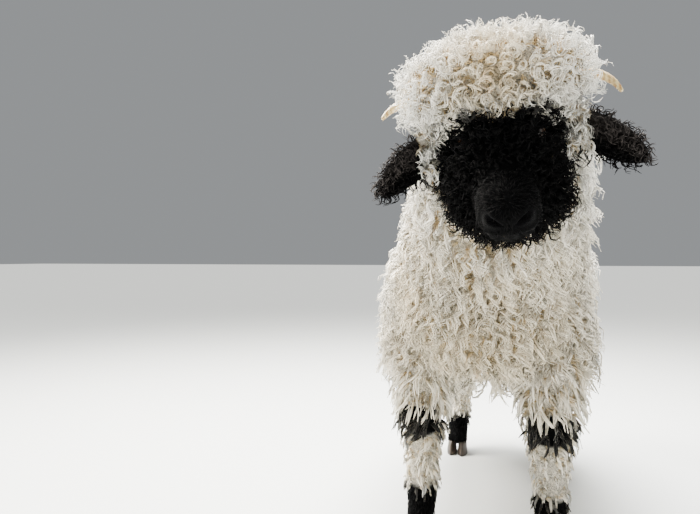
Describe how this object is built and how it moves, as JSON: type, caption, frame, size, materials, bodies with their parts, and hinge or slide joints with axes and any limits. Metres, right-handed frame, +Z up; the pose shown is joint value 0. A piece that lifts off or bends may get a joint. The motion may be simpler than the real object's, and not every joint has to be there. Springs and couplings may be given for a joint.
{
  "type": "valais blacknose sheep",
  "caption": "Young blacknose ewe standing square with her head turned and held forward, in a full curly fleece, with a topknot and small horns.",
  "frame": {"origin": "middle of the whole model's box, on the floor under the soles of the claws", "axes": "+Z up, nose towards -Y, tail towards +Y, the ewe's own left side towards +X"},
  "size_m": [0.4774, 1.2422, 0.9086],
  "materials": {
    "fleece": "curly cream and white wool, matte",
    "black_wool": "short tight black wool over the face and ears, matte",
    "horn": "pale horn with growth rings, satin",
    "eye": "wet dark brown eye, glossy",
    "claw": "dark horn of the claws, satin"
  },
  "bodies": {
    "root": {"claw_foreleg_left_inner": "claw", "claw_foreleg_left_outer": "claw", "claw_foreleg_right_inner": "claw", "claw_foreleg_right_outer": "claw", "claw_hindleg_left_inner": "claw", "claw_hindleg_left_outer": "claw", "claw_hindleg_right_inner": "claw", "claw_hindleg_right_outer": "claw", "ear_left": "black_wool", "ear_right": "black_wool", "eye_left": "eye", "eye_right": "eye", "foreleg_left": "fleece", "foreleg_right": "fleece", "head": "black_wool", "hindleg_left": "fleece", "hindleg_right": "fleece", "horn_left": "horn", "horn_right": "horn", "neck": "fleece", "tail": "fleece", "topknot": "fleece", "torso": "fleece"}
  },
  "joints": []
}
